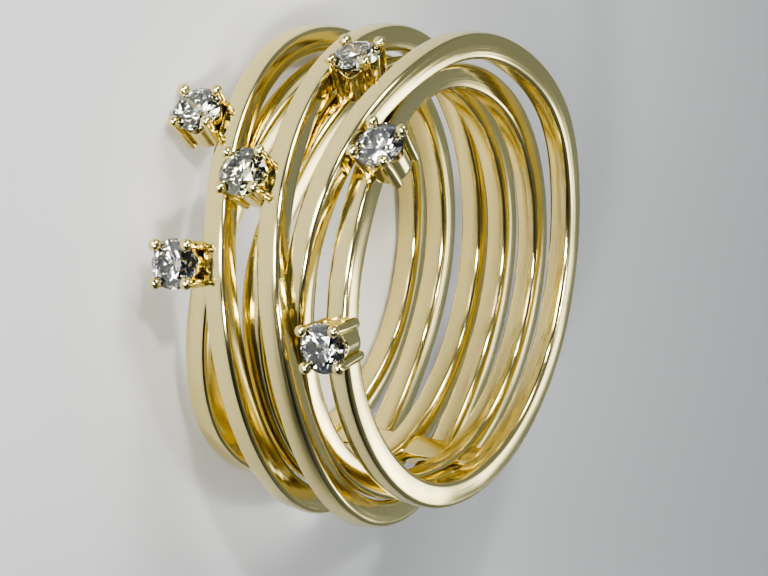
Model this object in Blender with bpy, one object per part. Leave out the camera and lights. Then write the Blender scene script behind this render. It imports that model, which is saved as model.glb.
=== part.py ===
"""Wrap style diamond ring: three endless gold bands, each laid twice round the finger, and six round
brilliants in claw baskets. While it is built the finger axis is +Z with the near rim up, and angles
are measured round Z from the back of the ring. At the end the ring is laid down on its far rim the way
it rests on a table."""
import bmesh
import bpy
import numpy as np
from math import atan2, cos, pi, radians, sin, tan
from mathutils import Matrix, Vector
from mathutils.bvhtree import BVHTree

# Unions and cuts are worked out with the solids this many times larger, where rounding is far smaller
# than the smallest gap.
WORK_SCALE = 1000

# Finger hole and bands
INSIDE_R = 0.00865
BAND_W = 0.00109
BAND_T = 0.0012
BAND_EDGE = 0.00014
LANE_GAP = 0.00051
LAYER_GAP = 0.0001
PITCH = BAND_W + LANE_GAP
LIFT = BAND_T + LAYER_GAP
MID_R = INSIDE_R + BAND_T / 2
KNOTS_PER_TURN = 12
STEPS_PER_KNOT = 4
SNAP = 0.02 * PITCH
WELD = 0.0000001

# Stones
STONE_R = 0.0011
TABLE_R = 0.57 * STONE_R
GIRDLE_T = 0.05 * STONE_R
CROWN_ANGLE = radians(34.5)
PAVILION_ANGLE = radians(40.5)
SEAT_GAP = 0.000045
STONE_SIDES = 16

# Settings; heights are counted from the girdle along the stone's axis
SOLDER_SINK = 0.000065
CLAW_R = 0.0002
CLAW_OUTSIDE_STONE = 0.00002
CLAW_LEAN_SLOPE = 0.055
CLAW_SIDES = 8
CLAW_TURN = radians(9)
CLAW_CIRCLE_R = STONE_R + CLAW_OUTSIDE_STONE
BEAD_R = 0.000275
BEAD_RISE = 0.00024
CUP_TOP = -0.11 * STONE_R
CUP_DIP = 0.36 * STONE_R
CUP_ABOVE_FEET = 0.04 * STONE_R
CUP_TOP_R = CLAW_CIRCLE_R - CLAW_R + SOLDER_SINK
CUP_HOLE_R = 0.54 * STONE_R
CUP_SIDES = 24
CUP_TURN = radians(4)
BESIDE_BAND = BAND_W / 2 + CLAW_CIRCLE_R * cos(pi / 4) + CLAW_R - SOLDER_SINK

GOLD_COLOR = (0.86, 0.62, 0.24, 1.0)
STONE_COLOR = (0.93, 0.95, 0.97, 1.0)

# One row for each turn, read every 30 degrees from the back over the top, the front and the bottom.
# across is the middle of the band in pitches from the middle of the ring, layer is its rise off the
# finger in lifts, lean turns its outer face towards the near rim in degrees.
TURNS = {
    "upper_1": {
        "across": (-2.48, -2.48, -2.46, -2.40, -2.33, -1.92, -1.27, -0.79, -0.69, -0.91, -1.26, -1.53),
        "layer": (0, 0.03, 0.20, 0.60, 1.02, 1.05, 1.05, 1.05, 1.02, 0.88, 0.35, 0.05),
        "lean": (0, 0, 0, 0, 0, 0, 0, 0, 0, 0, 0, 0),
    },
    "lower_1": {
        "across": (-1.53, -1.53, -1.53, -1.56, -1.62, -1.79, -2.05, -2.45, -2.77, -2.80, -2.64, -2.50),
        "layer": (0, 0, 0, 0, 0, 0, 0, 0, 0, 0, 0, 0),
        "lean": (0, 0, 0, 0, 0, 0, 0, 0, 0, 0, 0, 0),
    },
    "upper_2": {
        "across": (-0.33, -0.33, -0.41, -0.48, -0.46, -0.14, 0.40, 0.95, 1.11, 1.00, 0.70, 0.54),
        "layer": (0, 0.05, 0.42, 0.98, 1.04, 1.05, 1.04, 1.03, 1.05, 0.98, 0.45, 0.05),
        "lean": (0, 0, 0, 0, 0, 0, 4, 10, 14, 10, 3, 0),
    },
    "lower_2": {
        "across": (0.52, 0.52, 0.42, 0.28, 0.08, -0.14, -0.48, -0.42, -0.33, -0.30, -0.32, -0.33),
        "layer": (0, 0, 0, 0, 0, 0, 0, 0, 0, 0, 0, 0),
        "lean": (0, 0, 0, 0, 0, 0, 0, 0, 0, 0, 0, 0),
    },
    "lower_3": {
        "across": (1.54, 1.54, 1.54, 1.47, 1.56, 1.95, 2.11, 2.23, 2.46, 2.53, 2.53, 2.53),
        "layer": (0, 0, 0, 0, 0, 0, 0, 0, 0, 0, 0, 0),
        "lean": (0, 0, 0, 0, 0, 0, 0, 0, 0, 0, 0, 0),
    },
    "upper_3": {
        "across": (2.53, 2.53, 2.63, 2.22, 1.93, 1.40, 0.99, 0.85, 0.95, 1.28, 1.52, 1.54),
        "layer": (0.03, 0.38, 0.68, 1.10, 1.14, 1.01, 0.48, 0.05, 0, 0, 0, 0),
        "lean": (0, 0, 0, 0, 0, 0, 0, 0, 0, 0, 0, 0),
    },
}
BANDS = (("upper_1", "lower_1"), ("upper_2", "lower_2"), ("lower_3", "upper_3"))
NEAR_RIM = 2.53 * PITCH

# Each setting is soldered to one turn. side is the side of the band it stands on, shift moves it along
# the finger in band widths, rise is the girdle's height over the band's outer face and legs the claws'
# length below the girdle in stone radii, turn is its turn about its own axis in degrees.
SETTINGS = (
    {"stone": "diamond_1", "on": "upper_1", "angle": 146.8,
     "side": -1, "shift": -0.04, "rise": 0.49, "legs": 1.53, "turn": 9},
    {"stone": "diamond_2", "on": "upper_1", "angle": 159.3,
     "side": 1, "shift": 0.00, "rise": 0.49, "legs": 1.83, "turn": 10},
    {"stone": "diamond_3", "on": "upper_1", "angle": 180.6,
     "side": -1, "shift": 0.00, "rise": 0.71, "legs": 1.53, "turn": 8},
    {"stone": "diamond_4", "on": "upper_2", "angle": 123.6,
     "side": 1, "shift": 0.02, "rise": 0.28, "legs": 1.68, "turn": 6},
    {"stone": "diamond_5", "on": "lower_3", "angle": 146.6,
     "side": 0, "shift": 1.00, "rise": 1.10, "legs": 1.53, "turn": -8},
    {"stone": "diamond_6", "on": "lower_3", "angle": 193.7,
     "side": 0, "shift": 0.17, "rise": 1.20, "legs": 1.53, "turn": 9},
)

# Solder bar hidden inside the bands, from the far rim's lane to the near rim's
FAR_RIM = -2.55 * PITCH
BAR_ANGLE = radians(299)
BAR_LENGTH = 0.0015
BAR_T = 0.0007


def clear_scene():
    for obj in list(bpy.data.objects):
        bpy.data.objects.remove(obj, do_unlink=True)


def make_collection(name):
    found = bpy.data.collections.get(name) or bpy.data.collections.new(name)
    if found.name not in bpy.context.scene.collection.children:
        bpy.context.scene.collection.children.link(found)
    return found


def new_object(name, bm, collection):
    mesh = bpy.data.meshes.new(name)
    bmesh.ops.recalc_face_normals(bm, faces=bm.faces)
    bm.to_mesh(mesh)
    bm.free()
    return link_new(name, mesh, collection)


def link_new(name, mesh, collection):
    obj = bpy.data.objects.new(name, mesh)
    collection.objects.link(obj)
    return obj


def spline_through(values, steps):
    """Smooth closed curve through the values: solve for the control values of an even cubic
    B-spline, then read it at the given number of steps between each two values."""
    values = np.array(values, dtype=float)
    count = len(values)
    row = np.zeros(count)
    row[[0, 1, -1]] = 4 / 6, 1 / 6, 1 / 6
    matrix = np.array([np.roll(row, shift) for shift in range(count)])
    control = np.linalg.solve(matrix, values)
    t = np.arange(steps)[None, :] / steps
    before = np.roll(control, 1)[:, None]
    here = control[:, None]
    after = np.roll(control, -1)[:, None]
    last = np.roll(control, -2)[:, None]
    out = (1 - t) ** 3 * before + (3 * t ** 3 - 6 * t ** 2 + 4) * here
    out = out + (-3 * t ** 3 + 3 * t ** 2 + 3 * t + 1) * after + t ** 3 * last
    return (out / 6).ravel()


def band_path(first, second):
    """Middle line of one endless band and its lean, twice round the finger."""
    joined = {key: TURNS[first][key] + TURNS[second][key] for key in ("across", "layer", "lean")}
    along = spline_through(joined["across"], STEPS_PER_KNOT) * PITCH
    along = np.where(np.abs(along - NEAR_RIM) < SNAP, NEAR_RIM, along)
    out = MID_R + spline_through(joined["layer"], STEPS_PER_KNOT).clip(0) * LIFT
    lean = np.radians(spline_through(joined["lean"], STEPS_PER_KNOT))
    angle = np.arange(len(along)) * 2 * pi / (KNOTS_PER_TURN * STEPS_PER_KNOT)
    points = np.stack([out * np.cos(angle), out * np.sin(angle), along], axis=1)
    return points, lean


def closed_curve(name, points, collection):
    curve = bpy.data.curves.new(name, "CURVE")
    curve.dimensions = "3D"
    spline = curve.splines.new("POLY")
    spline.points.add(len(points) - 1)
    for point, place in zip(spline.points, points):
        point.co = (*place, 1.0)
    spline.use_cyclic_u = True
    return link_new(name, curve, collection)


def make_band(name, first, second, collection):
    """Sweep the chamfered band section along the path and keep the result as a mesh."""
    half_t = BAND_T / 2
    half_w = BAND_W / 2
    cut = BAND_EDGE
    section = [
        (half_t, half_w - cut), (half_t - cut, half_w), (cut - half_t, half_w), (-half_t, half_w - cut),
        (-half_t, cut - half_w), (cut - half_t, -half_w), (half_t - cut, -half_w), (half_t, cut - half_w),
    ]
    profile = closed_curve(name + "_section", [(x, y, 0.0) for x, y in section], collection)
    profile.data.dimensions = "2D"
    points, lean = band_path(first, second)
    path = closed_curve(name + "_path", points, collection)
    path.data.twist_mode = "Z_UP"
    path.data.bevel_mode = "OBJECT"
    path.data.bevel_object = profile
    for point, turn in zip(path.data.splines[0].points, lean):
        point.tilt = -turn
    bpy.context.view_layer.update()
    evaluated = path.evaluated_get(bpy.context.evaluated_depsgraph_get())
    mesh = bpy.data.meshes.new_from_object(evaluated)
    for spare in (path, profile):
        data = spare.data
        bpy.data.objects.remove(spare, do_unlink=True)
        bpy.data.curves.remove(data)
    bm = bmesh.new()
    bm.from_mesh(mesh)
    bmesh.ops.remove_doubles(bm, verts=bm.verts, dist=WELD)
    return new_object(name, bm, collection)


def lathe(profile, sides, start=0.0):
    """Turn a half section of (radius, height) pairs round Z into a closed body, the first corner at
    the start angle."""
    bm = bmesh.new()
    verts = [bm.verts.new((r * cos(start), r * sin(start), z)) for r, z in profile]
    edges = [bm.edges.new((a, b)) for a, b in zip(verts, verts[1:])]
    if profile[0][0] > 0:
        edges.append(bm.edges.new((verts[-1], verts[0])))
    bmesh.ops.spin(
        bm, geom=verts + edges, cent=(0, 0, 0), axis=(0, 0, 1), dvec=(0, 0, 0),
        angle=2 * pi, steps=sides, use_merge=True, use_duplicate=False,
    )
    bmesh.ops.remove_doubles(bm, verts=bm.verts, dist=WELD)
    return bm


def stone_heights():
    table = GIRDLE_T / 2 + (STONE_R - TABLE_R) * tan(CROWN_ANGLE)
    culet = -GIRDLE_T / 2 - STONE_R * tan(PAVILION_ANGLE)
    return table, culet


def make_stone(name, collection):
    """Round brilliant: hull of the table, the crown and girdle corners, the lower corners, the culet."""
    table, culet = stone_heights()
    rings = (
        {"count": 8, "shift": 0.5, "radius": TABLE_R, "height": table},
        {"count": 8, "shift": 0.0, "radius": 0.80 * STONE_R, "height": 0.66 * table},
        {"count": 16, "shift": 0.0, "radius": STONE_R, "height": GIRDLE_T / 2},
        {"count": 16, "shift": 0.0, "radius": STONE_R, "height": -GIRDLE_T / 2},
        {"count": 8, "shift": 0.5, "radius": 0.235 * STONE_R, "height": 0.80 * culet},
    )
    bm = bmesh.new()
    for ring in rings:
        for i in range(ring["count"]):
            angle = 2 * pi * (i + ring["shift"]) / ring["count"]
            place = (ring["radius"] * cos(angle), ring["radius"] * sin(angle), ring["height"])
            bm.verts.new(place)
    bm.verts.new((0, 0, culet))
    hull = bmesh.ops.convex_hull(bm, input=bm.verts)
    spare = [item for item in hull["geom_interior"] if isinstance(item, bmesh.types.BMVert)]
    bmesh.ops.delete(bm, geom=spare, context="VERTS")
    bmesh.ops.dissolve_limit(bm, angle_limit=radians(0.5), verts=bm.verts, edges=bm.edges)
    return new_object(name, bm, collection)


def make_seat(collection):
    """Stone grown by the seat gap all round, cut out of the metal."""
    table, culet = stone_heights()
    grow = SEAT_GAP
    wide = STONE_R + grow / cos(pi / STONE_SIDES)
    profile = [
        (0, table + grow), (TABLE_R + grow, table + grow), (wide, GIRDLE_T / 2 + grow / 2),
        (wide, -GIRDLE_T / 2 - grow / 2), (0, culet - grow / cos(PAVILION_ANGLE)),
    ]
    return new_object("seat", lathe(profile, STONE_SIDES), collection)


def claw_place(i):
    angle = pi / 4 + i * pi / 2
    return Vector((cos(angle), sin(angle), 0))


def make_claw(name, i, legs, collection):
    """Round wire with a bead on top, leaning in towards the foot."""
    foot = -legs
    profile = [
        (0, foot), (CLAW_R, foot), (CLAW_R, 0.1 * BEAD_RISE), (0.92 * BEAD_R, BEAD_RISE - 0.40 * BEAD_R),
        (BEAD_R, BEAD_RISE), (0.72 * BEAD_R, BEAD_RISE + 0.69 * BEAD_R), (0, BEAD_RISE + BEAD_R),
    ]
    claw = new_object(name, lathe(profile, CLAW_SIDES, CLAW_TURN), collection)
    out = claw_place(i)
    shear = Matrix.Identity(4)
    shear[0][2] = out.x * CLAW_LEAN_SLOPE
    shear[1][2] = out.y * CLAW_LEAN_SLOPE
    top = out * CLAW_CIRCLE_R
    claw.data.transform(Matrix.Translation(top) @ shear)
    return claw


def apply_boolean(obj, other, operation):
    for item in (obj, other):
        item.data.transform(Matrix.Scale(WORK_SCALE, 4))
    mod = obj.modifiers.new(operation.lower(), "BOOLEAN")
    mod.operation = operation
    mod.solver = "EXACT"
    mod.object = other
    bpy.context.view_layer.update()
    evaluated = obj.evaluated_get(bpy.context.evaluated_depsgraph_get())
    mesh = bpy.data.meshes.new_from_object(evaluated)
    mesh.transform(Matrix.Scale(1 / WORK_SCALE, 4))
    old = obj.data
    obj.modifiers.clear()
    obj.data = mesh
    bpy.data.meshes.remove(old)
    drop(other)


def drop(obj):
    mesh = obj.data
    bpy.data.objects.remove(obj, do_unlink=True)
    bpy.data.meshes.remove(mesh)


def make_cup(name, legs, collection):
    """Cup down to the claws' feet, as slanted as they are, its top edge dipping between each two."""
    foot = CUP_ABOVE_FEET - legs
    foot_r = CUP_TOP_R + (foot - CUP_TOP) * CLAW_LEAN_SLOPE
    profile = [(CUP_HOLE_R, foot), (foot_r, foot), (CUP_TOP_R, CUP_TOP), (CUP_HOLE_R, CUP_TOP)]
    bm = lathe(profile, CUP_SIDES, CUP_TURN)
    for vert in bm.verts:
        if vert.co.z > CUP_TOP - WELD:
            angle = atan2(vert.co.y, vert.co.x)
            vert.co.z -= CUP_DIP * (1 + cos(4 * angle)) / 2
    bmesh.ops.triangulate(bm, faces=bm.faces)
    return new_object(name, bm, collection)


def make_setting(name, legs, collection):
    """Cup and four claws as one body with the stone's seat cut in it."""
    body = make_cup(name, legs, collection)
    for i in range(4):
        apply_boolean(body, make_claw(name + "_claw", i, legs, collection), "UNION")
    apply_boolean(body, make_seat(collection), "DIFFERENCE")
    return body


def turn_at(name, degrees):
    """Middle of one turn at an angle: its place along the finger and its distance from the axis."""
    first, second = next(pair for pair in BANDS if name in pair)
    points, _ = band_path(first, second)
    half = len(points) // 2
    points = points[:half] if name == first else points[half:]
    angles = np.arange(half) * 360 / half
    along = np.interp(degrees, angles, points[:, 2])
    out = np.interp(degrees, angles, np.hypot(points[:, 0], points[:, 1]))
    return along, out


def setting_matrix(row):
    """Local Z points out of the ring, local X along the finger, local Y back towards smaller angles."""
    along_turn, out_turn = turn_at(row["on"], row["angle"])
    place_along = along_turn + row["side"] * BESIDE_BAND + row["shift"] * BAND_W
    place_out = out_turn + BAND_T / 2 + row["rise"] * STONE_R
    angle = radians(row["angle"])
    out = Vector((cos(angle), sin(angle), 0))
    along = Vector((0, 0, 1))
    basis = Matrix((along, out.cross(along), out)).transposed().to_4x4()
    place = out * place_out + along * place_along
    return Matrix.Translation(place) @ basis @ Matrix.Rotation(radians(row["turn"]), 4, "Z")


def make_bar(collection):
    """Solder bar under the outer faces, from the far rim's middle to the near rim's."""
    bm = bmesh.new()
    bmesh.ops.create_cube(bm, size=1.0)
    bmesh.ops.scale(bm, vec=(BAR_T, BAR_LENGTH, NEAR_RIM - FAR_RIM), verts=bm.verts)
    bmesh.ops.translate(bm, vec=(MID_R, 0, (FAR_RIM + NEAR_RIM) / 2), verts=bm.verts)
    bmesh.ops.rotate(bm, matrix=Matrix.Rotation(BAR_ANGLE, 3, "Z"), verts=bm.verts)
    return new_object("bar", bm, collection)


def paint(obj, name, color, metallic, roughness):
    material = bpy.data.materials.new(name)
    material.use_nodes = True
    shader = material.node_tree.nodes["Principled BSDF"]
    shader.inputs["Base Color"].default_value = color
    shader.inputs["Metallic"].default_value = metallic
    shader.inputs["Roughness"].default_value = roughness
    obj.data.materials.clear()
    obj.data.materials.append(material)


def tidy(obj):
    """Weld the crumbs that the unions leave and split the faces into triangles."""
    bm = bmesh.new()
    bm.from_mesh(obj.data)
    bmesh.ops.remove_doubles(bm, verts=bm.verts, dist=WELD)
    bmesh.ops.dissolve_degenerate(bm, edges=bm.edges, dist=WELD)
    bmesh.ops.triangulate(bm, faces=bm.faces)
    bmesh.ops.recalc_face_normals(bm, faces=bm.faces)
    bm.to_mesh(obj.data)
    bm.free()


def centre_of_mass(obj):
    mesh = obj.data
    mesh.calc_loop_triangles()
    total = 0.0
    moment = Vector((0, 0, 0))
    for tri in mesh.loop_triangles:
        a, b, c = (mesh.vertices[i].co for i in tri.vertices)
        volume = a.dot(b.cross(c)) / 6
        total += volume
        moment += (a + b + c) * (volume / 4)
    return moment / total


def resting_turn(gold):
    """Rotation that puts the hull facet under the centre of mass flat on the table."""
    bm = bmesh.new()
    bm.from_mesh(gold.data)
    hull = bmesh.ops.convex_hull(bm, input=bm.verts)
    faces = [item for item in hull["geom"] if isinstance(item, bmesh.types.BMFace)]
    for face in faces:
        face.normal_update()
    tree_verts = [vert.co.copy() for vert in bm.verts]
    for i, vert in enumerate(bm.verts):
        vert.index = i
    tree = BVHTree.FromPolygons(tree_verts, [[v.index for v in face.verts] for face in faces])
    start = centre_of_mass(gold)
    hit = tree.ray_cast(start, Vector((0, 0, -1)))
    normal = faces[hit[2]].normal.copy()
    if normal.z > 0:
        normal.negate()
    bm.free()
    return normal.rotation_difference(Vector((0, 0, -1))).to_matrix().to_4x4()


def rest(objects, gold):
    for _ in range(3):
        turn = resting_turn(gold)
        for obj in objects:
            obj.data.transform(turn)
    corners = np.array([vert.co[:] for obj in objects for vert in obj.data.vertices])
    low = corners.min(axis=0)
    high = corners.max(axis=0)
    shift = Vector((-(low[0] + high[0]) / 2, -(low[1] + high[1]) / 2, -low[2]))
    for obj in objects:
        obj.data.transform(Matrix.Translation(shift))
        obj.data.update()


def main():
    clear_scene()
    parts = make_collection("diamond_ring")
    make_collection("cutters")
    bands = [make_band("band_%d" % (i + 1), *names, parts) for i, names in enumerate(BANDS)]
    gold = bands[0]
    gold.name = "gold_body"
    for band in bands[1:]:
        apply_boolean(gold, band, "UNION")
    apply_boolean(gold, make_bar(parts), "UNION")
    stones = []
    for row in SETTINGS:
        setting = make_setting("setting", row["legs"] * STONE_R, parts)
        setting.data.transform(setting_matrix(row))
        apply_boolean(gold, setting, "UNION")
        stone = make_stone(row["stone"], parts)
        stone.data.transform(setting_matrix(row))
        paint(stone, row["stone"], STONE_COLOR, 0.0, 0.02)
        stones.append(stone)
    tidy(gold)
    paint(gold, "gold_body", GOLD_COLOR, 1.0, 0.08)
    rest([gold, *stones], gold)


main()
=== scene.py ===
# %% [markdown]
# # A gold wrap ring with six small brilliants
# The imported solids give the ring's place and size. This script dresses them: smooth bands, claw
# settings and fully cut stones stand where the solids stand, with a mirror polish on the gold. Lengths
# are in millimetres or in shares of a named size. The ring is worked out in its own frame first: the
# finger axis is +Z, the near rim is up, and angles go round Z from the back of the ring.

import bmesh
import bpy
import numpy as np
from mathutils import Matrix, Vector


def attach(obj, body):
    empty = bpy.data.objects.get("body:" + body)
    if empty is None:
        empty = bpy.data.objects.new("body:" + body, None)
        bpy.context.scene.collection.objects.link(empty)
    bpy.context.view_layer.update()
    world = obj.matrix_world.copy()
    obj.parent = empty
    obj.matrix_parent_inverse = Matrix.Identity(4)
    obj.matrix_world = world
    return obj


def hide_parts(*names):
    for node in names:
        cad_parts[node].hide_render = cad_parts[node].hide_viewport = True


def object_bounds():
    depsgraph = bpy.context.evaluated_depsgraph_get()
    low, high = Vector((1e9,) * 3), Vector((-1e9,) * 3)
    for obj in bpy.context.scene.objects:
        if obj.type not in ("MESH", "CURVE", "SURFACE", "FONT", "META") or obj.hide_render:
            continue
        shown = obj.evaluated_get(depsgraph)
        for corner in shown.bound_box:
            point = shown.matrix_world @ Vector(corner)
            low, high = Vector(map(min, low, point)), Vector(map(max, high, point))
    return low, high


MM = 0.001
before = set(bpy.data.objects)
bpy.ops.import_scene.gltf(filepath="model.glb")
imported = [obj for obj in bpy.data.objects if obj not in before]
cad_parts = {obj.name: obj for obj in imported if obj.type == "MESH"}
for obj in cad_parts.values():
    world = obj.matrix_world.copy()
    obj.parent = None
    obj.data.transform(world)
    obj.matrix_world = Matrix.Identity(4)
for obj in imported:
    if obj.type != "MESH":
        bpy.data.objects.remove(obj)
packed_low, packed_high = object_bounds()
print("packed size in mm", [round(s * 1000, 2) for s in packed_high - packed_low])

# %% [markdown]
# ## The sizes
# A wrap ring is drawn with few numbers: the finger hole, the band's width and thickness, the gap between
# two lanes or two layers, and how the band wanders. The path could be drawn by hand as a curve, but a
# table says what it does. Each row is one turn round the finger, read every 30 degrees from the back
# over the top, the front and the bottom. The column across is the middle of the band in pitches from the
# middle of the ring, layer is its rise off the finger in lifts, and lean turns its outer face towards
# the near rim in degrees.

# %% Named sizes and the table of turns
INSIDE_R = 8.65
BAND_W = 1.09
BAND_T = 1.20
LANE_GAP = 0.51
LAYER_GAP = 0.10
PITCH = BAND_W + LANE_GAP
LIFT = BAND_T + LAYER_GAP
MID_R = INSIDE_R + BAND_T / 2
KNOTS_PER_TURN = 12
LEVEL = (0,) * KNOTS_PER_TURN

TURNS = {
    "upper_1": {
        "across": (-2.48, -2.48, -2.46, -2.40, -2.33, -1.92, -1.27, -0.79, -0.69, -0.91, -1.26, -1.53),
        "layer": (0, 0.03, 0.20, 0.60, 1.02, 1.05, 1.05, 1.05, 1.02, 0.88, 0.35, 0.05),
        "lean": LEVEL,
    },
    "lower_1": {
        "across": (-1.53, -1.53, -1.53, -1.56, -1.62, -1.79, -2.05, -2.45, -2.77, -2.80, -2.64, -2.50),
        "layer": LEVEL,
        "lean": LEVEL,
    },
    "upper_2": {
        "across": (-0.33, -0.33, -0.41, -0.48, -0.46, -0.14, 0.40, 0.95, 1.11, 1.00, 0.70, 0.54),
        "layer": (0, 0.05, 0.42, 0.98, 1.04, 1.05, 1.04, 1.03, 1.05, 0.98, 0.45, 0.05),
        "lean": (0, 0, 0, 0, 0, 0, 4, 10, 14, 10, 3, 0),
    },
    "lower_2": {
        "across": (0.52, 0.52, 0.42, 0.28, 0.08, -0.14, -0.48, -0.42, -0.33, -0.30, -0.32, -0.33),
        "layer": LEVEL,
        "lean": LEVEL,
    },
    "lower_3": {
        "across": (1.54, 1.54, 1.54, 1.47, 1.56, 1.95, 2.11, 2.23, 2.46, 2.53, 2.53, 2.53),
        "layer": LEVEL,
        "lean": LEVEL,
    },
    "upper_3": {
        "across": (2.53, 2.53, 2.63, 2.22, 1.93, 1.40, 0.99, 0.85, 0.95, 1.28, 1.52, 1.54),
        "layer": (0.03, 0.38, 0.68, 1.10, 1.14, 1.01, 0.48, 0.05, 0, 0, 0, 0),
        "lean": LEVEL,
    },
}
BANDS = (("upper_1", "lower_1"), ("upper_2", "lower_2"), ("lower_3", "upper_3"))
print("turns", len(TURNS), "pitch", round(PITCH, 2), "lift", round(LIFT, 2))

# %% [markdown]
# ## A smooth closed path
# The real bands are bent from straight stock, so they have no kinks. Straight lines between the table's
# values would have them. A cubic B-spline has none and hardly swings past its values. Its control
# values come from one small linear system: each value is one sixth, four sixths and one sixth of three
# neighbouring controls.


# %% Spline through the values
def spline_through(values, steps):
    """Smooth closed curve through the values, read at some steps between each two of them. With t from
    0 to 1 in one span, the weights of four controls are (1-t)^3, 3t^3-6t^2+4, -3t^3+3t^2+3t+1 and t^3,
    all over 6."""
    values = np.array(values, dtype=float)
    count = len(values)
    row = np.zeros(count)
    row[[0, 1, -1]] = 4 / 6, 1 / 6, 1 / 6
    matrix = np.array([np.roll(row, shift) for shift in range(count)])
    control = np.linalg.solve(matrix, values)
    t = np.arange(steps)[None, :] / steps
    weights = ((1 - t) ** 3, 3 * t ** 3 - 6 * t ** 2 + 4, -3 * t ** 3 + 3 * t ** 2 + 3 * t + 1, t ** 3)
    out = sum(w * np.roll(control, 1 - i)[:, None] for i, w in enumerate(weights))
    return (out / 6).ravel()


print("spline through 1, 2, 3, 2 and between them", spline_through((1, 2, 3, 2), 2).round(2))

# %% [markdown]
# ## From numbers to a mesh
# Blender could build these forms with modifiers, but every gold piece here is a grid of points that is
# worked out as one array, so each formula can be read. Four neighbours in the grid make a quad. The UV
# map counts millimetres along and across the piece, which the polish needs later.


# %% Grid pieces
WELD = 1e-8


def grid_object(name, points, closed_rows, closed_columns, uv_size=(1.0, 1.0)):
    """Mesh of a grid of points, in millimetres. Neighbours in both directions make a quad, and a closed
    direction joins its last line to its first. The UV map is the share of the way along the rows and the
    columns, times the size."""
    rows, columns = points.shape[:2]
    last_row = rows if closed_rows else rows - 1
    last_column = columns if closed_columns else columns - 1
    r, c = np.meshgrid(np.arange(last_row), np.arange(last_column), indexing="ij")
    corners = [(r, c), (r + 1, c), (r + 1, c + 1), (r, c + 1)]
    quads = np.stack([(a % rows) * columns + b % columns for a, b in corners], axis=-1).reshape(-1, 4)
    uvs = np.stack([np.stack([a / last_row, b / last_column], axis=-1) for a, b in corners], axis=2)
    mesh = bpy.data.meshes.new(name)
    mesh.from_pydata((points * MM).reshape(-1, 3), [], quads)
    layer = mesh.uv_layers.new(name="run")
    layer.data.foreach_set("uv", (uvs.reshape(-1, 2) * np.array(uv_size)).ravel())
    obj = bpy.data.objects.new(name, mesh)
    bpy.context.scene.collection.objects.link(obj)
    return obj


def weld_outwards(obj):
    """Weld the points that meet on an axis, and turn the faces round when the signed volume of the
    closed mesh is negative."""
    bm = bmesh.new()
    bm.from_mesh(obj.data)
    bmesh.ops.remove_doubles(bm, verts=bm.verts, dist=WELD)
    if bm.calc_volume(signed=True) < 0:
        bmesh.ops.reverse_faces(bm, faces=bm.faces)
    bm.to_mesh(obj.data)
    bm.free()


def smooth(obj, degrees):
    """Smooth shading, with edges sharper than the angle kept crisp."""
    obj.data.shade_smooth()
    obj.data.set_sharp_from_angle(angle=np.radians(degrees))


def mesh_points(obj):
    """Points of a mesh as rows of an array, in metres."""
    points = np.zeros(len(obj.data.vertices) * 3)
    obj.data.vertices.foreach_get("co", points)
    return points.reshape(-1, 3)


def set_points(obj, points):
    """Put rows of an array back into the mesh."""
    obj.data.vertices.foreach_set("co", points.ravel())
    obj.data.update()


# %% [markdown]
# ## The gold bands
# The ring is three endless bands. Each goes twice round the finger, so its closed path has 24 table
# values, and it crosses over itself at the front. A curve object with a bevel sweeps them well too, but
# as an array the same sweep also gives a UV map in millimetres. The section is set square to the path at
# every step: one direction points away from the finger, the other along it.

# %% Values of the bands
BAND_STEPS = 18
BAND_EDGE = 0.22
FACE_CROWN = 0.02
OUT_TRIM = 0.008
SIDE_TRIM = 0.006
BAND_RUN = 119.0
BAND_GIRTH = 4.4
BAND_SHARP = 50


# %% Path of a band
def band_path(names, steps):
    """Middle line of a band and its lean: radius MID_R plus the layer times the lift, height the across
    value times the pitch."""
    joined = {key: sum((TURNS[name][key] for name in names), ()) for key in ("across", "layer", "lean")}
    along = spline_through(joined["across"], steps) * PITCH
    out = MID_R + spline_through(joined["layer"], steps).clip(0) * LIFT
    lean = np.radians(spline_through(joined["lean"], steps))
    angle = np.arange(len(along)) * 2 * np.pi / (KNOTS_PER_TURN * steps)
    return np.stack([out * np.cos(angle), out * np.sin(angle), along], axis=1), lean


def path_axes(points, lean):
    """Outward and sideways directions at each step: sideways is +Z made square to the path, outward is
    square to both, and the lean turns the pair about the path."""
    ahead = np.roll(points, -1, axis=0) - np.roll(points, 1, axis=0)
    ahead /= np.linalg.norm(ahead, axis=1, keepdims=True)
    side = np.array([0.0, 0.0, 1.0]) - ahead * ahead[:, 2:]
    side /= np.linalg.norm(side, axis=1, keepdims=True)
    out = np.cross(ahead, side)
    turn = lean[:, None]
    leaned_out = out * np.cos(turn) + side * np.sin(turn)
    leaned_side = side * np.cos(turn) - out * np.sin(turn)
    return leaned_out, leaned_side


# %% [markdown]
# The stock has flat faces with rounded edges. Polishing leaves the faces very slightly crowned, and
# that is what makes a highlight slide along a real band, so the section has it too. The trims take the
# crown off again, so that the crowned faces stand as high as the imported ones.


# %% Section of a band
def band_section(half_out, half_side, edge):
    """Rounded rectangle: four faces with quarter circles between them. A face bulges by the crown times
    one minus the square of the share of the way from its middle to its end."""
    flat = np.array([-1, -0.96, -0.5, 0, 0.5, 0.96, 1])
    arc = np.radians(np.array([15, 30, 45, 60, 75]))
    pieces = []
    for turn in range(4):
        across, high = (half_side, half_out) if turn % 2 == 0 else (half_out, half_side)
        x = flat * (across - edge)
        y = high + FACE_CROWN * (1 - flat ** 2)
        bend_x = across - edge + edge * np.sin(arc)
        bend_y = high - edge + edge * np.cos(arc)
        points = np.stack([np.concatenate([x, bend_x]), np.concatenate([y, bend_y])], axis=1)
        angle = -turn * np.pi / 2
        c, s = np.cos(angle), np.sin(angle)
        pieces.append(points @ np.array([[c, s], [-s, c]]))
    return np.concatenate(pieces)


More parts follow.
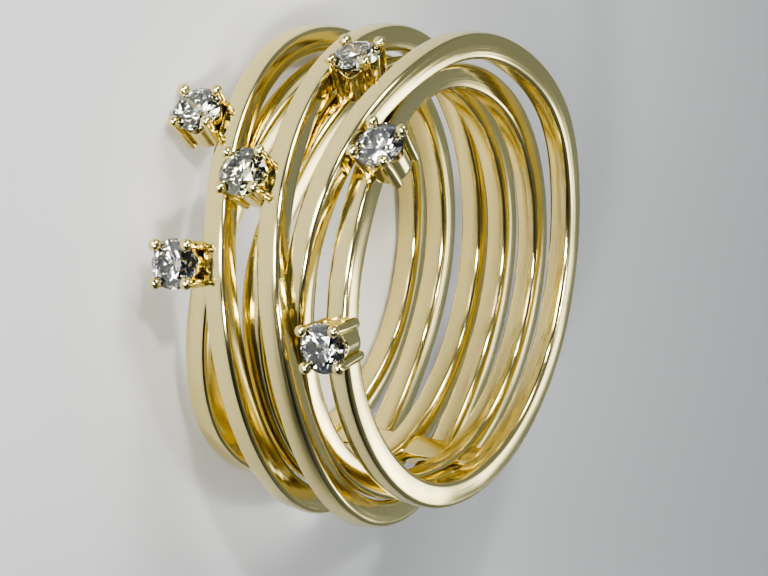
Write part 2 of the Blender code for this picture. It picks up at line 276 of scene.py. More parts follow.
# %% Sweep the bands
def make_band(name, names):
    """Section swept along the path: each point is the path's point plus its outward and sideways
    lengths along the two directions there."""
    points, lean = band_path(names, BAND_STEPS)
    out, side = path_axes(points, lean)
    section = band_section(BAND_T / 2 - OUT_TRIM, BAND_W / 2 - SIDE_TRIM, BAND_EDGE)
    grid = points[:, None] + section[None, :, 1:] * out[:, None] + section[None, :, :1] * side[:, None]
    band = grid_object(name, grid, True, True, (BAND_RUN, BAND_GIRTH))
    weld_outwards(band)
    smooth(band, BAND_SHARP)
    return band


gold_pieces = [make_band("band_%d" % (i + 1), names) for i, names in enumerate(BANDS)]
print("faces of each band", [len(piece.data.polygons) for piece in gold_pieces])

# %% [markdown]
# ## The solder bar
# Something has to tie the six lanes together. On such a ring it is a short bar soldered inside the
# lanes at the back, where a wearer never looks. It is a rounded block with its middle sunk between the
# inner and the outer faces, so it shows only in the gaps.

# %% Solder bar
BAR_ANGLE = np.radians(299)
BAR_HEIGHTS = np.array([-2.55, 2.53]) * PITCH
BAR_LENGTH = 1.5
BAR_T = 0.7
BAR_EDGE = 0.2
BAR_SHARP = 40


def make_bar(name):
    """Rounded block at an angle round the finger. Its section lies square to the finger's axis at both
    heights, and each end is closed towards its middle."""
    section = band_section(BAR_T / 2, BAR_LENGTH / 2, BAR_EDGE)
    across = np.stack([section[:, 1] + MID_R, section[:, 0], np.zeros(len(section))], axis=1)
    c, s = np.cos(BAR_ANGLE), np.sin(BAR_ANGLE)
    across = across @ np.array([[c, s, 0], [-s, c, 0], [0, 0, 1]])
    rings = [across + np.array([0, 0, height]) for height in BAR_HEIGHTS]
    tips = [np.repeat(ring.mean(axis=0)[None], len(ring), axis=0) for ring in rings]
    bar = grid_object(name, np.stack([tips[0], rings[0], rings[1], tips[1]]), False, True)
    weld_outwards(bar)
    smooth(bar, BAR_SHARP)
    return bar


gold_pieces.append(make_bar("solder_bar"))
print("solder bar length in mm", round(float(np.ptp(BAR_HEIGHTS)), 2))

# %% [markdown]
# ## The settings
# A basket is a small cup under the stone with four claws soldered round it, each ending in a bead that
# holds the stone down. Each basket is soldered to one turn of a band, and the table says where: angle
# is its angle round the finger, side the side of the band it stands on, shift moves it along the finger
# in band widths, and rise is the girdle's height over the band's outer face in stone radii. The claws
# reach down by legs, in stone radii too. The basket is turned about its own axis by turn, and the stone
# in it by spin more. The tint is the stone's colour.

# %% Values of the settings
STONE_R = 1.10
GIRDLE_T = 0.05 * STONE_R
CROWN_ANGLE = np.radians(34.5)
PAVILION_ANGLE = np.radians(40.5)
SEAT_GAP = 0.02

CLAW_R = 0.20
CLAW_CIRCLE_R = STONE_R + 0.02
CLAW_LEAN_SLOPE = 0.055
CLAW_SIDES = 28
BEAD_R = 0.275
BEAD_RISE = 0.24
SOLDER_SINK = 0.065
BESIDE_BAND = BAND_W / 2 + CLAW_CIRCLE_R * np.cos(np.pi / 4) + CLAW_R - SOLDER_SINK

SETTINGS = (
    {"stone": "diamond_1", "on": "upper_1", "angle": 146.8, "side": -1, "shift": -0.04, "rise": 0.49,
     "legs": 1.53, "turn": 9, "spin": 4, "tint": (0.97, 1.0, 0.88)},
    {"stone": "diamond_2", "on": "upper_1", "angle": 159.3, "side": 1, "shift": 0.00, "rise": 0.49,
     "legs": 1.83, "turn": 10, "spin": 31, "tint": (1.0, 1.0, 0.64)},
    {"stone": "diamond_3", "on": "upper_1", "angle": 180.6, "side": -1, "shift": 0.00, "rise": 0.71,
     "legs": 1.53, "turn": 8, "spin": 17, "tint": (1.0, 1.0, 0.96)},
    {"stone": "diamond_4", "on": "upper_2", "angle": 123.6, "side": 1, "shift": 0.02, "rise": 0.28,
     "legs": 1.68, "turn": 6, "spin": 12, "tint": (1.0, 0.98, 0.80)},
    {"stone": "diamond_5", "on": "lower_3", "angle": 146.6, "side": 0, "shift": 1.00, "rise": 1.10,
     "legs": 1.53, "turn": -8, "spin": 38, "tint": (1.0, 1.0, 0.98)},
    {"stone": "diamond_6", "on": "lower_3", "angle": 193.7, "side": 0, "shift": 0.17, "rise": 1.20,
     "legs": 1.53, "turn": 9, "spin": 22, "tint": (1.0, 1.0, 0.98)},
)
print("stones", len(SETTINGS), "middle of a basket beside its band by", round(BESIDE_BAND, 2))

# %% [markdown]
# A claw is a turned form: a half section swept round an axis, as on a lathe. The half section has a
# bevelled foot where the wire was cut, a straight wire, a slight neck and a round bead. The Screw
# modifier could sweep it, but as a grid the same function also turns the cup, whose top edge rises and
# falls with the angle.

# %% Values of a claw
FOOT_BEVEL = ((0.8, 0.0), (0.97, 0.02), (1.0, 0.06))
WIRE_START = 0.3
WIRE_END = -0.12
WIRE_POINTS = 5
BEAD_ARC = (-46, 90)
BEAD_POINTS = 12


# %% Turned forms
def turned(name, profile, sides):
    """Half section of (radius, height) pairs swept round Z; each value may also be one row of numbers,
    one for each side. The point at angle a is radius cos a, radius sin a, height."""
    angle = np.arange(sides) * 2 * np.pi / sides
    radius = np.stack([np.broadcast_to(r, (sides,)) for r, _ in profile])
    height = np.stack([np.broadcast_to(z, (sides,)) for _, z in profile])
    points = np.stack([radius * np.cos(angle), radius * np.sin(angle), height], axis=-1)
    closed = radius[0, 0] > 0
    return grid_object(name, points, closed, True, (2 * np.ptp(height), 2 * np.pi * radius.max()))


def claw_profile(legs, bead):
    """Half section of a claw from its foot up. The bevel gives shares of the wire's radius at heights
    over the foot, and the bead is an arc from below its middle to its top."""
    angle = np.radians(np.linspace(*BEAD_ARC, BEAD_POINTS))
    ball = np.stack([bead * np.cos(angle), BEAD_RISE + bead * np.sin(angle)], axis=1)
    ball[-1, 0] = 0
    foot = [(0, -legs)] + [(CLAW_R * share, -legs + rise) for share, rise in FOOT_BEVEL]
    wire = [(CLAW_R, height) for height in np.linspace(-legs + WIRE_START, WIRE_END, WIRE_POINTS)]
    return np.concatenate([foot, wire, ball])


first_legs = SETTINGS[0]["legs"] * STONE_R
print("points of a claw's half section", len(claw_profile(first_legs, BEAD_R)))

# %% [markdown]
# A setter files a notch into each claw, so the girdle sits in it. Cutting the stone's shape away with a
# Boolean would leave ragged shading on the small bead. Pushing the points out of the stone keeps the
# grid, and the notch gets a clean edge.


# %% Notch round the stone
def notch(points, gap):
    """Push what lies inside the stone, grown by the gap, out through the nearest of its three outer
    surfaces: crown cone, girdle cylinder or lower cone. Each is a line in the half section with a
    normal, and the depth under it is the distance along that normal."""
    radius = np.hypot(points[..., 0], points[..., 1])
    height = points[..., 2]
    edge = np.array([STONE_R + gap, 0.0])
    normals = np.array([
        [np.sin(CROWN_ANGLE), np.cos(CROWN_ANGLE)], [1.0, 0.0],
        [np.sin(PAVILION_ANGLE), -np.cos(PAVILION_ANGLE)],
    ])
    starts = np.array([edge + [0, GIRDLE_T / 2 + gap], edge, edge - [0, GIRDLE_T / 2 + gap]])
    place = np.stack([radius, height], axis=-1)
    depth = -np.stack([(place - start) @ normal for start, normal in zip(starts, normals)], axis=-1)
    nearest = depth.argmin(axis=-1)
    inside = depth.min(axis=-1) > 0
    push = np.where(inside, depth.min(axis=-1), 0.0)[..., None] * normals[nearest]
    moved = place + push
    unit = points[..., :2] / np.maximum(radius, 1e-9)[..., None]
    return np.concatenate([unit * moved[..., :1], moved[..., 1:]], axis=-1)


# %% [markdown]
# Four claws stand round each stone and lean in towards their feet. Beads are pressed by hand, so no two
# are quite alike: a small random share changes their size and their place on the circle.

# %% Claws
BEAD_VARIATION = 0.05
ANGLE_VARIATION = 0.03
WIRE_BROADENING = 0.22
BROAD_BELOW = 0.5


def make_claws(name, legs, seed):
    """Four claws of one basket, notched round the stone. Each leans by the slope times its height, and
    its wire grows broader round the cup over the first stretch below the girdle."""
    spread = np.random.default_rng(seed)
    claws = []
    for i in range(4):
        bead = BEAD_R * (1 + BEAD_VARIATION * spread.uniform(-1, 1))
        claw = turned("%s_claw_%d" % (name, i), claw_profile(legs, bead), CLAW_SIDES)
        points = mesh_points(claw) / MM
        angle = np.pi / 4 + i * np.pi / 2 + ANGLE_VARIATION * spread.uniform(-1, 1)
        out = np.array([np.cos(angle), np.sin(angle), 0.0])
        beside = np.array([-out[1], out[0], 0.0])
        broad = 1 + WIRE_BROADENING * np.clip(-points[:, 2:] / BROAD_BELOW, 0, 1)
        points = (
            out * (points[:, :1] + CLAW_CIRCLE_R + points[:, 2:] * CLAW_LEAN_SLOPE)
            + beside * points[:, 1:2] * broad + np.array([0, 0, 1]) * points[:, 2:]
        )
        set_points(claw, notch(points, SEAT_GAP) * MM)
        claws.append(claw)
    return claws


# %% [markdown]
# The cup is what the stone sits over. Its top edge dips between the claws, so light reaches the stone
# from the side, and its wall is hollowed by a hole and by the cone of the seat. The bend table rounds
# its edges: how far the wall steps in, and how far below the edge that is.

# %% Cup
CUP_SIDES = 128
CUP_TOP_R = CLAW_CIRCLE_R - CLAW_R + SOLDER_SINK
CUP_TOP = -0.16 * STONE_R
CUP_DIP = 0.33 * STONE_R
CUP_HOLE_R = 0.54 * STONE_R
CUP_ABOVE_FEET = 0.03 * STONE_R
CUP_WALL = 0.045
CUP_BEND = ((0.0, 0.06), (0.006, 0.028), (0.022, 0.008), (0.05, 0.0))
TOP_OUTER_BEND = 0.4
TOP_INNER_BEND = 0.2
FOOT_INNER_BEND = 0.6
CUP_SHARES = np.linspace(0.06, 0.94, 7)


def cup_outside(z):
    """Radius of the outer wall, which slants as the claws do."""
    return CUP_TOP_R + (z - CUP_TOP) * CLAW_LEAN_SLOPE


def cup_inside(z):
    """Radius of the inner wall: the hole or the cone under the stone, whichever is wider, and never
    closer to the outer wall than the wall's least thickness."""
    cone = STONE_R + SEAT_GAP * 2 + (z + GIRDLE_T / 2) / np.tan(PAVILION_ANGLE)
    return np.minimum(np.maximum(CUP_HOLE_R, cone), cup_outside(z) - CUP_WALL)


def make_cup(name, legs):
    """Cup with a hole through it. At an angle a the top edge is the top less the dip times one plus the
    cosine of 4a, halved. The half section runs up the outside and down the inside."""
    angle = np.arange(CUP_SIDES) * 2 * np.pi / CUP_SIDES
    foot = CUP_ABOVE_FEET - legs
    top = CUP_TOP - CUP_DIP * (1 + np.cos(4 * angle)) / 2
    levels = [foot + share * (top - foot) for share in CUP_SHARES]
    profile = [(cup_outside(foot) - inset, foot + rise) for inset, rise in reversed(CUP_BEND)]
    profile += [(cup_outside(z), z) for z in levels]
    profile += [(cup_outside(top - drop) - inset * TOP_OUTER_BEND, top - drop) for inset, drop in CUP_BEND]
    profile += [
        (cup_inside(top - drop) + inset * TOP_INNER_BEND, top - drop) for inset, drop in reversed(CUP_BEND)
    ]
    profile += [(cup_inside(z), z) for z in reversed(levels)]
    profile += [(cup_inside(foot) + inset * FOOT_INNER_BEND, foot + rise) for inset, rise in CUP_BEND]
    return turned(name, profile, CUP_SIDES)


first_foot = CUP_ABOVE_FEET - first_legs
print("cup radius at the top and at the foot", round(CUP_TOP_R, 2), round(cup_outside(first_foot), 2))

# %% [markdown]
# Cup and claws are soldered, so they become one piece. On the real ring the solder fills the corners
# between them, which are too small to be seen here. Joining keeps each form closed, and a Boolean
# union would add nothing that shows.

# %% Basket
BASKET_SHARP = 42


def join(name, objects):
    """One mesh of several closed ones, welded and facing outwards."""
    for obj in objects:
        weld_outwards(obj)
    with bpy.context.temp_override(active_object=objects[0], selected_editable_objects=objects):
        bpy.ops.object.join()
    objects[0].name = name
    objects[0].data.name = name
    smooth(objects[0], BASKET_SHARP)
    return objects[0]


def make_setting(name, legs, seed):
    """One basket in its own frame: the girdle at zero, the stone's axis along Z."""
    return join(name, [make_cup(name + "_cup", legs), *make_claws(name, legs, seed)])


# %% [markdown]
# The place of a basket is read from the same path as its band, so the two always meet: beside the band
# by half its width and the basket's own half width, and above its outer face by the rise.

# %% Places of the settings
LOOKUP_STEPS = 4
FIRST_SEED = 11


def turn_at(name, degrees):
    """Height and radius of one turn's middle at an angle."""
    names = next(pair for pair in BANDS if name in pair)
    points, _ = band_path(names, LOOKUP_STEPS)
    half = len(points) // 2
    points = points[:half] if name == names[0] else points[half:]
    angles = np.arange(half) * 360 / half
    along = np.interp(degrees, angles, points[:, 2])
    return along, np.interp(degrees, angles, np.hypot(points[:, 0], points[:, 1]))


def setting_matrix(row):
    """Local Z points out of the ring, local X along the finger."""
    along_turn, out_turn = turn_at(row["on"], row["angle"])
    along = along_turn + row["side"] * BESIDE_BAND + row["shift"] * BAND_W
    away = out_turn + BAND_T / 2 + row["rise"] * STONE_R
    angle = np.radians(row["angle"])
    out = Vector((np.cos(angle), np.sin(angle), 0))
    up = Vector((0, 0, 1))
    basis = Matrix((up, out.cross(up), out)).transposed().to_4x4()
    place = Matrix.Translation((out * away + up * along) * MM)
    return place @ basis @ Matrix.Rotation(np.radians(row["turn"]), 4, "Z")


for number, row in enumerate(SETTINGS):
    setting = make_setting("setting_%d" % (number + 1), row["legs"] * STONE_R, FIRST_SEED + number)
    setting.data.transform(setting_matrix(row))
    gold_pieces.append(setting)
print("faces of each setting", [len(piece.data.polygons) for piece in gold_pieces[-len(SETTINGS):]])

# %% [markdown]
# ## The stones
# A round brilliant has 57 flat cuts: the table, eight stars, eight crown mains and sixteen upper halves
# above the girdle, eight lower mains and sixteen lower halves below it. A list of corners could give
# them, but a cutter thinks in planes. Each cut here is the plane through three known points, and a
# cylinder is cut by every plane in turn, so the facets meet as they do on a real stone.

# %% Values of the cut
TABLE_R = 0.57 * STONE_R
STAR_R = 0.80 * STONE_R
LOW_CORNER_R = 0.24 * STONE_R
MAIN_STEP = 45.0
HALF_STEP = MAIN_STEP / 2
GIRDLE_SIDES = 96
ON_PLANE = 1e-6
CORNER_WELD = 1e-5


# %% Cutting planes
def on_circle(radius, degrees, height):
    """Point at an angle on a circle round Z."""
    angle = np.radians(degrees)
    return np.array([radius * np.cos(angle), radius * np.sin(angle), height])


def plane_through(a, b, c):
    """Plane through three points: its normal is the cross product of two sides, turned outwards."""
    normal = np.cross(b - a, c - a)
    normal /= np.linalg.norm(normal)
    return a, normal if normal @ a > 0 else -normal


def cutting_planes():
    """Point and outward normal of each cut. The mains slope at the crown and lower angles; a corner
    shared by two mains lies where both planes meet, off their middles by half a step."""
    half = GIRDLE_T / 2
    off = np.cos(np.radians(HALF_STEP))
    table = half + (STONE_R - TABLE_R) * np.tan(CROWN_ANGLE)
    star_z = half + (STONE_R - STAR_R * off) * np.tan(CROWN_ANGLE)
    low_z = -half - (STONE_R - LOW_CORNER_R * off) * np.tan(PAVILION_ANGLE)
    planes = [(np.array([0, 0, table]), np.array([0, 0, 1.0]))]
    for k in range(8):
        turn = MAIN_STEP * k
        corner = on_circle(TABLE_R, turn, table)
        next_corner = on_circle(TABLE_R, turn + MAIN_STEP, table)
        star = on_circle(STAR_R, turn + HALF_STEP, star_z)
        low = on_circle(LOW_CORNER_R, turn + HALF_STEP, low_z)
        planes.append(plane_through(corner, next_corner, star))
        up = on_circle(np.sin(CROWN_ANGLE), turn, np.cos(CROWN_ANGLE))
        planes.append((on_circle(STONE_R, turn, half), up))
        down = on_circle(np.sin(PAVILION_ANGLE), turn, -np.cos(PAVILION_ANGLE))
        planes.append((on_circle(STONE_R, turn, -half), down))
        for near in (turn, turn + HALF_STEP):
            upper = [on_circle(STONE_R, a, half) for a in (near, near + HALF_STEP)]
            lower = [on_circle(STONE_R, a, -half) for a in (near, near + HALF_STEP)]
            planes.append(plane_through(star, *upper))
            planes.append(plane_through(low, *lower))
    return planes


print("cuts of a stone", len(cutting_planes()))


# %% Cut the stones
def make_brilliant(name):
    """Cylinder cut by every plane, the hole closed after each cut."""
    bm = bmesh.new()
    bmesh.ops.create_cone(
        bm, cap_ends=True, segments=GIRDLE_SIDES, radius1=STONE_R, radius2=STONE_R, depth=4 * STONE_R,
    )
    for point, normal in cutting_planes():
        geometry = bm.verts[:] + bm.edges[:] + bm.faces[:]
        cut = bmesh.ops.bisect_plane(
            bm, geom=geometry, dist=ON_PLANE, plane_co=point, plane_no=normal, clear_outer=True,
        )
        rim = [item for item in cut["geom_cut"] if isinstance(item, bmesh.types.BMEdge)]
        if rim:
            bmesh.ops.edgeloop_fill(bm, edges=rim)
    bmesh.ops.remove_doubles(bm, verts=bm.verts, dist=CORNER_WELD)
    bmesh.ops.recalc_face_normals(bm, faces=bm.faces)
    bmesh.ops.scale(bm, vec=(MM, MM, MM), verts=bm.verts)
    mesh = bpy.data.meshes.new(name)
    bm.to_mesh(mesh)
    bm.free()
    return mesh


brilliant = make_brilliant("brilliant")
stones = []
for row in SETTINGS:
    stone = bpy.data.objects.new("brilliant_" + row["stone"][-1], brilliant.copy())
    bpy.context.scene.collection.objects.link(stone)
    stone.data.transform(setting_matrix(row) @ Matrix.Rotation(np.radians(row["spin"]), 4, "Z"))
    stones.append(stone)
print("facets and girdle faces of a stone", len(brilliant.polygons))

# %% [markdown]
# ## Laying the ring down
# The solids lie on the floor as the real ring would. How far they were turned could be copied as
# numbers, but then a changed size would leave the pieces behind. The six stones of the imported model
# tell it each time: the best rotation between two sets of points comes from the singular value
# decomposition of the sum of their products, once both are counted from their own middles. A packed
# stone's corners have their mean a little below its girdle.

# %% From the ring's frame to the floor
CORNER_MEAN_DROP = 0.0434
CORNER_DIGITS = 7


def corner_mean(node):
    """Mean of a node's corners, each counted once."""
    corners = np.unique(np.round(mesh_points(node), CORNER_DIGITS), axis=0)
    return corners.mean(axis=0)


def best_motion(source, target):
    """Rotation and shift that bring the source points onto the target points with the least squares."""
    middle_source, middle_target = source.mean(axis=0), target.mean(axis=0)
    left, _, right = np.linalg.svd((source - middle_source).T @ (target - middle_target))
    flip = np.diag([1, 1, np.sign(np.linalg.det(right.T @ left.T))])
    turn = right.T @ flip @ left.T
    return turn, middle_target - turn @ middle_source


source = np.array([setting_matrix(row) @ Vector((0, 0, -CORNER_MEAN_DROP * MM)) for row in SETTINGS])
target = np.array([corner_mean(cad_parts[row["stone"]]) for row in SETTINGS])
turn, shift = best_motion(source, target)
lay_down = Matrix.Translation(Vector(shift)) @ Matrix(turn.tolist()).to_4x4()
miss = np.abs(source @ turn.T + shift - target).max()
print("stones match the packed ones within", round(miss * 1e6, 2), "micrometres")

for piece in gold_pieces + stones:
    piece.data.transform(lay_down)
    piece.data.update()

# %% [markdown]
# ## Gold and diamond
# Polished gold is a metal with a low roughness, and a flat value would give a computer's mirror. What
# makes it look real is what the polishing leaves: faint streaks that run along the metal, and a very
# slow wave in the surface. An image could hold them, but noise follows a piece of any length. They are
# worked out once, in a node group, and each gold material takes its own share of the wave. The streaks
# follow the UV map, and the wave reads the object's place.


# %% Node helpers
def new_noise(nodes, links, vector, scale, detail):
    """Noise of a scale that reads a vector."""
    noise = nodes.new("ShaderNodeTexNoise")
    noise.inputs["Scale"].default_value = scale
    noise.inputs["Detail"].default_value = detail
    links.new(vector, noise.inputs["Vector"])
    return noise.outputs["Fac"]


def new_range(nodes, links, value, low, high, to_low, to_high):
    """Straight map from one range to another, held at both ends."""
    part = nodes.new("ShaderNodeMapRange")
    part.inputs["From Min"].default_value = low
    part.inputs["From Max"].default_value = high
    part.inputs["To Min"].default_value = to_low
    part.inputs["To Max"].default_value = to_high
    links.new(value, part.inputs["Value"])
    return part.outputs["Result"]


def new_math(nodes, links, operation, first, second):
    """One sum or product of two values, each a number or a socket."""
    part = nodes.new("ShaderNodeMath")
    part.operation = operation
    for socket, value in zip(part.inputs, (first, second)):
        if isinstance(value, (int, float)):
            socket.default_value = value
        else:
            links.new(value, socket)
    return part.outputs["Value"]


def new_bump(nodes, links, height, distance, before=None):
    """Bump of a height in metres on top of an earlier normal."""
    bump = nodes.new("ShaderNodeBump")
    bump.inputs["Strength"].default_value = 1.0
    bump.inputs["Distance"].default_value = distance
    links.new(height, bump.inputs["Height"])
    if before:
        links.new(before, bump.inputs["Normal"])
    return bump.outputs["Normal"]


# %% Polish group
STREAK_STRETCH = (0.22, 16.0, 1.0)
STREAK_DETAIL = 3.0
STREAK_RANGE = (0.3, 0.7)
STREAK_ROUGHNESS = (0.06, 0.19)
STREAK_DEPTH = 0.000006
WAVE_SCALE = 330.0
WAVE_DEPTH = 0.00007


def polish_group():
    """Roughness and normal of hand polished metal: a noise drawn out along the run gives the streaks,
    and a slow one, times the input, the wave."""
    group = bpy.data.node_groups.new("hand_polish", "ShaderNodeTree")
    group.interface.new_socket("Wave", in_out="INPUT", socket_type="NodeSocketFloat")
    group.interface.new_socket("Roughness", in_out="OUTPUT", socket_type="NodeSocketFloat")
    group.interface.new_socket("Normal", in_out="OUTPUT", socket_type="NodeSocketVector")
    nodes, links = group.nodes, group.links
    inlet = nodes.new("NodeGroupInput")
    outlet = nodes.new("NodeGroupOutput")
    place = nodes.new("ShaderNodeTexCoord").outputs["Object"]
    run = nodes.new("ShaderNodeUVMap")
    run.uv_map = "run"
    stretch = nodes.new("ShaderNodeMapping")
    stretch.inputs["Scale"].default_value = STREAK_STRETCH
    links.new(run.outputs["UV"], stretch.inputs["Vector"])
    streak = new_noise(nodes, links, stretch.outputs["Vector"], 1.0, STREAK_DETAIL)
    wave = new_noise(nodes, links, place, WAVE_SCALE, 0.0)
    rough = new_range(nodes, links, streak, *STREAK_RANGE, *STREAK_ROUGHNESS)
    slow = new_math(nodes, links, "MULTIPLY", wave, inlet.outputs["Wave"])
    normal = new_bump(nodes, links, slow, WAVE_DEPTH)
    normal = new_bump(nodes, links, streak, STREAK_DEPTH, normal)
    links.new(rough, outlet.inputs["Roughness"])
    links.new(normal, outlet.inputs["Normal"])
    return group


polish = polish_group()
print("nodes in the polish group", len(polish.nodes))

# %% [markdown]
# The gold's colour is the colour of its reflections, so it goes into Base Color of a full metal. It is
# a greenish yellow, as 14 carat gold is. The bands take the whole wave and the small baskets three
# tenths of it. A diamond is clear, with a far higher index of refraction than glass, and that is what
# makes it throw light back.

# %% Gold and diamond materials
GOLD_COLOR = (0.86, 0.74, 0.38, 1.0)
DIAMOND_IOR = 2.417


def gold_material(name, wave):
    """Metal with the polish group's roughness and normal."""
    material = bpy.data.materials.new(name)
    material.use_nodes = True
    nodes, links = material.node_tree.nodes, material.node_tree.links
    shader = nodes["Principled BSDF"]
    shader.inputs["Metallic"].default_value = 1.0
    shader.inputs["Base Color"].default_value = GOLD_COLOR
    surface = nodes.new("ShaderNodeGroup")
    surface.node_tree = polish
    surface.inputs["Wave"].default_value = wave
    links.new(surface.outputs["Roughness"], shader.inputs["Roughness"])
    links.new(surface.outputs["Normal"], shader.inputs["Normal"])
    return material


def diamond_material(name, color):
    """Clear stone with a tint."""
    material = bpy.data.materials.new(name)
    material.use_nodes = True
    shader = material.node_tree.nodes["Principled BSDF"]
    shader.inputs["Base Color"].default_value = (*color, 1.0)
    shader.inputs["Roughness"].default_value = 0.0
    shader.inputs["IOR"].default_value = DIAMOND_IOR
    shader.inputs["Transmission Weight"].default_value = 1.0
    return material


# %% Dress the pieces
band_gold = gold_material("band_gold", 1.0)
basket_gold = gold_material("basket_gold", 0.3)
for piece in gold_pieces:
    piece.data.materials.clear()
    piece.data.materials.append(basket_gold if piece.name.startswith("setting") else band_gold)
    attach(piece, "root")
for stone, row in zip(stones, SETTINGS):
    stone.data.materials.clear()
    stone.data.materials.append(diamond_material("diamond_" + stone.name[-1], row["tint"]))
    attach(stone, "root")
    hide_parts(row["stone"])
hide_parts("gold_body")
print("dressed pieces", len(gold_pieces), "of gold and", len(stones), "stones")

# %% [markdown]
# ## Studio
# The floor is a plain pale sheet without any shine, so it throws an even light up at the gold. It is
# large, and its far end fades into the room.

# %% Floor
FLOOR_HALF = 0.6
FLOOR_COLOR = (0.72, 0.72, 0.72, 1.0)


def make_floor():
    """One square face at the height zero."""
    mesh = bpy.data.meshes.new("floor")
    half = FLOOR_HALF
    corners = [(-half, -half, 0), (half, -half, 0), (half, half, 0), (-half, half, 0)]
    mesh.from_pydata(corners, [], [(0, 1, 2, 3)])
    floor = bpy.data.objects.new("floor", mesh)
    bpy.context.scene.collection.objects.link(floor)
    material = bpy.data.materials.new("pale_floor")
    material.use_nodes = True
    shader = material.node_tree.nodes["Principled BSDF"]
    shader.inputs["Base Color"].default_value = FLOOR_COLOR
    shader.inputs["Roughness"].default_value = 1.0
    shader.inputs["Specular IOR Level"].default_value = 0.0
    mesh.materials.append(material)


make_floor()
print("floor side in metres", 2 * FLOOR_HALF)

# %% [markdown]
# Polished metal only shows what is round it, so the room is dim and the lights are soft boxes, placed
# where the metal mirrors them. The key lights the floor beside the ring. The overhead box draws bright
# lines on the rounded edges. The rim box is what the flat side of the near rim mirrors. The front box
# and the two sparkle boxes light the stones, and a spot from above reaches the floor through the finger
# hole. A bare box has hard edges that show in the gold, so its glow fades towards them.

# %% Lights
GLOW = 36.0
SPOT_BLEND = 0.6


def area_light(name, place, aim, size, spread, power):
    """Square soft light at a place in millimetres, turned to its aim. Its glow fades towards its edges:
    with u and v from 0 to 1 across it, the strength follows 36 u (1-u) v (1-v), whose mean is one. The
    spread in degrees keeps the light round its aim."""
    light = bpy.data.lights.new(name, "AREA")
    light.shape = "SQUARE"
    light.size = size * MM
    light.spread = np.radians(spread)
    light.energy = power
    light.use_nodes = True
    nodes, links = light.node_tree.nodes, light.node_tree.links
    split = nodes.new("ShaderNodeSeparateXYZ")
    links.new(nodes.new("ShaderNodeNewGeometry").outputs["Parametric"], split.inputs["Vector"])
    sides = []
    for axis in ("X", "Y"):
        rest = new_math(nodes, links, "SUBTRACT", 1.0, split.outputs[axis])
        sides.append(new_math(nodes, links, "MULTIPLY", split.outputs[axis], rest))
    glow = new_math(nodes, links, "MULTIPLY", sides[0], sides[1])
    links.new(new_math(nodes, links, "MULTIPLY", glow, GLOW), nodes["Emission"].inputs["Strength"])
    obj = bpy.data.objects.new(name, light)
    obj.location = Vector(place) * MM
    obj.rotation_mode = "QUATERNION"
    obj.rotation_quaternion = (Vector(place) - Vector(aim)).to_track_quat("Z", "Y")
    obj.visible_camera = False
    bpy.context.scene.collection.objects.link(obj)


def spot_light(name, place, degrees, radius, power):
    """Soft edged spot that looks straight down."""
    light = bpy.data.lights.new(name, "SPOT")
    light.spot_size = np.radians(degrees)
    light.spot_blend = SPOT_BLEND
    light.shadow_soft_size = radius * MM
    light.energy = power
    obj = bpy.data.objects.new(name, light)
    obj.location = Vector(place) * MM
    obj.visible_camera = False
    bpy.context.scene.collection.objects.link(obj)


# %% Table of lights
LIGHTS = (
    {"name": "key", "place": (-22, 80, 60), "aim": (-6, 16, 0),
     "size": 46, "spread": 70, "power": 0.007},
    {"name": "overhead", "place": (14, 4, 140), "aim": (0, 0, 0),
     "size": 26, "spread": 180, "power": 0.007},
    {"name": "rim_box", "place": (103, -25, 80), "aim": (0, -10, 10),
     "size": 56, "spread": 180, "power": 0.015},
    {"name": "front_box", "place": (-140, 22, 27), "aim": (-8, 0, 8),
     "size": 52, "spread": 60, "power": 0.011},
    {"name": "sparkle_low", "place": (-110, -30, 70), "aim": (-8, 0, 7),
     "size": 18, "spread": 60, "power": 0.009},
    {"name": "sparkle_high", "place": (-95, 75, 90), "aim": (-8, 0, 7),
     "size": 16, "spread": 60, "power": 0.009},
)
for row in LIGHTS:
    area_light(**row)
spot_light("through_the_hole", (1.3, 0, 140), degrees=7.6, radius=8, power=0.55)
print("soft boxes", len(LIGHTS), "and one spot")

# %% [markdown]
# A room is never equally bright all round, and a metal shows it. The room here rises from nearly dark
# to dim towards one side, with a cool colour against the warm gold. The view's contrast is raised too,
# because polish reads as strong steps from dark to light.

# %% World
ROOM_COLOR = (0.82, 0.93, 1.0, 1.0)
ROOM_SPAN = (-0.6, 0.95)


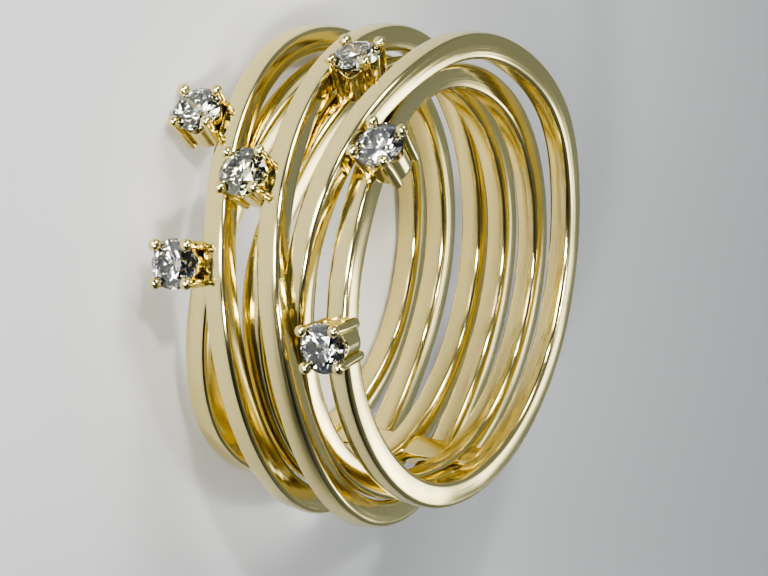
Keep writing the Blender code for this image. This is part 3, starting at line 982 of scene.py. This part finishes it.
def make_world(towards, dark, bright):
    """Dim cool room. Its strength rises straight from dark to bright with how far a direction points
    towards one side, which is the dot product of the two."""
    world = bpy.data.worlds.new("dim_room")
    bpy.context.scene.world = world
    world.use_nodes = True
    nodes, links = world.node_tree.nodes, world.node_tree.links
    dot = nodes.new("ShaderNodeVectorMath")
    dot.operation = "DOT_PRODUCT"
    dot.inputs[1].default_value = towards
    links.new(nodes.new("ShaderNodeTexCoord").outputs["Generated"], dot.inputs[0])
    strength = new_range(nodes, links, dot.outputs["Value"], *ROOM_SPAN, dark, bright)
    nodes["Background"].inputs["Color"].default_value = ROOM_COLOR
    links.new(strength, nodes["Background"].inputs["Strength"])


make_world((0.9, 0.3, 0.3), dark=0.03, bright=0.28)
bpy.context.scene.view_settings.look = "AgX - High Contrast"
print("view look", bpy.context.scene.view_settings.look)

# %% [markdown]
# ## Camera
# The picture looks at the ring from the front and a little from the near rim, from far away with a long
# lens, as jewellery is photographed. The camera's place and its directions are in the ring's frame, so
# they turn with the ring when it is laid down.

# %% Camera
SENSOR = 36.0
PICTURE_WIDTH = 768
FOCAL_PIXELS = 3739.4
CAMERA_PLACE = Vector((-145.197, 11.780, 82.133))
CAMERA_RIGHT = Vector((0.49632, 0.12966, 0.85840))
CAMERA_BACK = Vector((-0.86814, 0.07413, 0.49076))

camera_data = bpy.data.cameras.new("camera")
camera = bpy.data.objects.new("camera", camera_data)
bpy.context.scene.collection.objects.link(camera)
bpy.context.scene.camera = camera
camera_data.sensor_width = SENSOR
camera_data.lens = FOCAL_PIXELS / PICTURE_WIDTH * SENSOR
camera_data.clip_start = 0.01
camera_data.clip_end = 10.0
up = CAMERA_BACK.cross(CAMERA_RIGHT).normalized()
right = up.cross(CAMERA_BACK).normalized()
axes = Matrix((right, up, CAMERA_BACK.normalized())).transposed().to_4x4()
camera.matrix_world = lay_down @ Matrix.Translation(CAMERA_PLACE * MM) @ axes
print("lens in mm", round(camera_data.lens, 1), "distance in mm", round(CAMERA_PLACE.length, 1))
